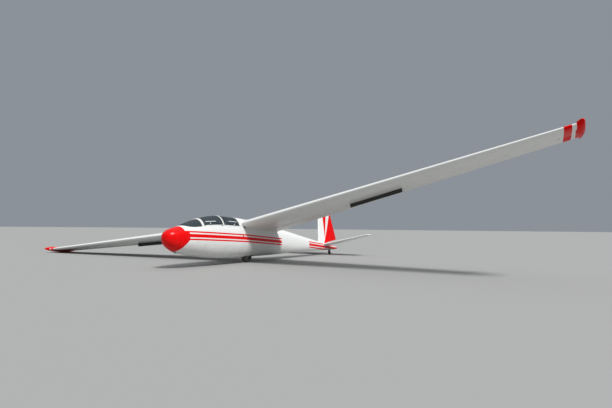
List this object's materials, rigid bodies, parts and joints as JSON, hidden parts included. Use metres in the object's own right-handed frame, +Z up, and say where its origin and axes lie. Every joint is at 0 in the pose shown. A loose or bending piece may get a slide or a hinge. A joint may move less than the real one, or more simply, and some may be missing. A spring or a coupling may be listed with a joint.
{
  "type": "two-seat training sailplane",
  "caption": "Tandem-seat all-metal training glider with forward-swept wings, framed canopy and open airbrakes, parked on its wheels with the starboard wing tip down.",
  "frame": {"origin": "centre of the parked aircraft's bounding box in plan, on the ground", "axes": "+Z up, -X towards the nose, +Y along the starboard wing, which rests on the ground; the airframe is rolled and pitched as it parks"},
  "size_m": [8.19, 15.9532, 2.807],
  "materials": {
    "white_paint": "glossy white enamel over riveted sheet aluminium",
    "red_paint": "glossy red enamel",
    "painted_fabric": "doped and painted fabric, satin, red and white",
    "bare_aluminium": "dull grey sheet aluminium with a light cap strip",
    "acrylic": "clear acrylic sheet, slightly smoked with age",
    "tyre_rubber": "worn black rubber",
    "seat_cloth": "dark grey woven cloth",
    "panel_black": "black crackle paint",
    "grey_paint": "satin grey-green interior paint",
    "black_paint": "satin black paint",
    "steel": "cadmium plated steel, slightly dull"
  },
  "bodies": {
    "airframe": {"nose_cap": "red_paint", "cockpit_shell": "white_paint", "cockpit_floor": "grey_paint", "centre_section": "white_paint", "tail_cone": "white_paint", "fin": "white_paint", "tailplane_starboard": "white_paint", "tailplane_port": "white_paint", "wing_starboard": "white_paint", "wing_tip_starboard": "red_paint", "wing_port": "white_paint", "wing_tip_port": "red_paint", "windscreen_frame": "white_paint", "windscreen_pane": "acrylic", "seat_front": "grey_paint", "seat_pad_front": "seat_cloth", "seat_rear": "grey_paint", "seat_pad_rear": "seat_cloth", "instrument_panel_front": "panel_black", "instrument_panel_rear": "panel_black", "stick_front": "black_paint", "stick_rear": "black_paint", "pedals_front": "steel", "pedals_rear": "steel", "main_axle": "steel", "tail_axle": "steel", "main_fork": "steel", "tail_fork": "black_paint", "tow_hook": "steel"},
    "rudder": {"rudder": "painted_fabric"},
    "elevator_starboard": {"elevator_starboard": "painted_fabric"},
    "elevator_port": {"elevator_port": "painted_fabric"},
    "flap_starboard": {"flap_starboard": "white_paint"},
    "aileron_starboard": {"aileron_starboard": "painted_fabric"},
    "airbrake_upper_starboard": {"airbrake_upper_starboard": "bare_aluminium"},
    "airbrake_lower_starboard": {"airbrake_lower_starboard": "bare_aluminium"},
    "flap_port": {"flap_port": "white_paint"},
    "aileron_port": {"aileron_port": "painted_fabric"},
    "airbrake_upper_port": {"airbrake_upper_port": "bare_aluminium"},
    "airbrake_lower_port": {"airbrake_lower_port": "bare_aluminium"},
    "canopy": {"canopy_frame": "white_paint", "canopy_pane_front": "acrylic", "canopy_pane_rear": "acrylic"},
    "main_wheel": {"main_tyre": "tyre_rubber", "main_hub": "steel"},
    "tail_wheel": {"tail_tyre": "tyre_rubber", "tail_hub": "steel"}
  },
  "joints": [
    {"name": "canopy_hinge", "type": "hinge", "parent": "airframe", "child": "canopy", "pos_m": [-2.94746, 0.19213, 0.85795], "axis": [-0.9999, -0.0118, 0.0089], "range_deg": [0, 85]},
    {"name": "main_wheel_spin", "type": "hinge", "parent": "airframe", "child": "main_wheel", "pos_m": [-1.31828, -0.19915, 0.17312], "axis": [-0.0106, 0.9865, -0.1633], "continuous": true},
    {"name": "tail_wheel_spin", "type": "hinge", "parent": "airframe", "child": "tail_wheel", "pos_m": [3.43494, -0.16545, 0.06925], "axis": [-0.0106, 0.9865, -0.1633], "continuous": true},
    {"name": "rudder_hinge", "type": "hinge", "parent": "airframe", "child": "rudder", "pos_m": [3.28304, -0.10705, 0.432], "axis": [0.0637, 0.1636, 0.9845], "range_deg": [-30, 30]},
    {"name": "elevator_port_hinge", "type": "hinge", "parent": "airframe", "child": "elevator_port", "pos_m": [3.39289, -0.27708, 0.3775], "axis": [0.0521, 0.9734, -0.2232], "range_deg": [-32, 25]},
    {"name": "elevator_starboard_hinge", "type": "hinge", "parent": "airframe", "child": "elevator_starboard", "pos_m": [3.38951, 0.03861, 0.32525], "axis": [-0.0731, 0.9921, -0.1021], "range_deg": [-32, 25]},
    {"name": "aileron_port_hinge", "type": "hinge", "parent": "airframe", "child": "aileron_port", "pos_m": [-1.08343, -4.50262, 1.90069], "axis": [0.1212, 0.9671, -0.2237], "range_deg": [-34, 13]},
    {"name": "aileron_starboard_hinge", "type": "hinge", "parent": "airframe", "child": "aileron_starboard", "pos_m": [-1.17913, 4.43532, 0.4216], "axis": [-0.1421, 0.9849, -0.0993], "range_deg": [-34, 13]},
    {"name": "flap_port_track", "type": "hinge", "parent": "airframe", "child": "flap_port", "pos_m": [-0.8028, -0.6178, 0.06012], "axis": [0.1098, 0.9681, -0.2254], "range_deg": [0, 10]},
    {"name": "flap_starboard_track", "type": "hinge", "parent": "airframe", "child": "flap_starboard", "pos_m": [-0.81125, 0.17142, -0.07048], "axis": [-0.1307, 0.9866, -0.098], "range_deg": [0, 10]},
    {"name": "airbrake_upper_port_slide", "type": "slide", "parent": "airframe", "child": "airbrake_upper_port", "axis": [0.0637, 0.1636, 0.9845], "range_m": [-0.098, 0]},
    {"name": "airbrake_upper_starboard_slide", "type": "slide", "parent": "airframe", "child": "airbrake_upper_starboard", "axis": [0.0637, 0.1636, 0.9845], "range_m": [-0.098, 0]},
    {"name": "airbrake_lower_port_slide", "type": "slide", "parent": "airframe", "child": "airbrake_lower_port", "axis": [-0.0637, -0.1636, -0.9845], "range_m": [-0.098, 0]},
    {"name": "airbrake_lower_starboard_slide", "type": "slide", "parent": "airframe", "child": "airbrake_lower_starboard", "axis": [-0.0637, -0.1636, -0.9845], "range_m": [-0.098, 0]}
  ],
  "couplings": [
    {"joint": "elevator_starboard_hinge", "follows": "elevator_port_hinge", "ratio": 1},
    {"joint": "aileron_starboard_hinge", "follows": "aileron_port_hinge", "ratio": -0.38},
    {"joint": "flap_starboard_track", "follows": "flap_port_track", "ratio": 1},
    {"joint": "airbrake_lower_port_slide", "follows": "airbrake_upper_port_slide", "ratio": 1},
    {"joint": "airbrake_upper_starboard_slide", "follows": "airbrake_upper_port_slide", "ratio": 1},
    {"joint": "airbrake_lower_starboard_slide", "follows": "airbrake_upper_port_slide", "ratio": 1}
  ]
}
